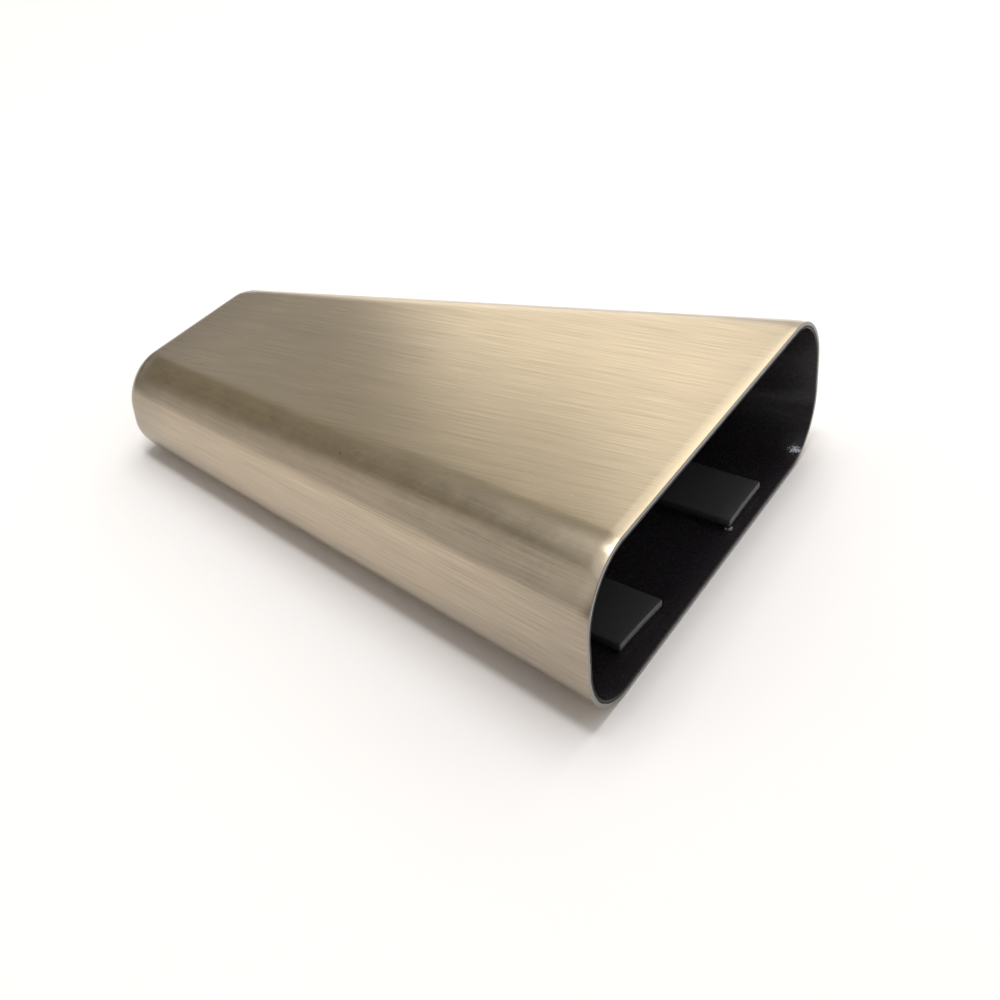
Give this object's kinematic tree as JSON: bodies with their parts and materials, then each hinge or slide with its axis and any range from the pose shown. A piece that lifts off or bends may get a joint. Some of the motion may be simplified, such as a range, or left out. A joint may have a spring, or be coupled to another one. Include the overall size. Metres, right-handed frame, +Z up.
{
  "type": "hand cowbell",
  "caption": "Tapered, flat-sided hand cowbell with rounded sides, a closed crown and an open mouth with damping pads inside; held in the palm and struck with a stick.",
  "frame": {"origin": "middle of the bell's box, on the surface it lies on", "axes": "+X out of the open mouth, +Y to the right when looking into the mouth, +Z up from the lower broad face"},
  "size_m": [0.1836, 0.1496, 0.0497],
  "materials": {
    "shell": "steel sheet with brushed antique-brass plating outside and satin black paint inside",
    "weld": "ground flush, plated and brushed with the shells",
    "pad": "matt dark grey rubber, cut edges",
    "tape": "black double-sided adhesive tape"
  },
  "bodies": {
    "root": {"upper_shell": "shell", "lower_shell": "shell", "left_seam_weld": "weld", "right_seam_weld": "weld", "crown_seam_weld": "weld", "left_pad_tape": "tape", "right_pad_tape": "tape", "left_damper_pad": "pad", "right_damper_pad": "pad"}
  },
  "joints": []
}
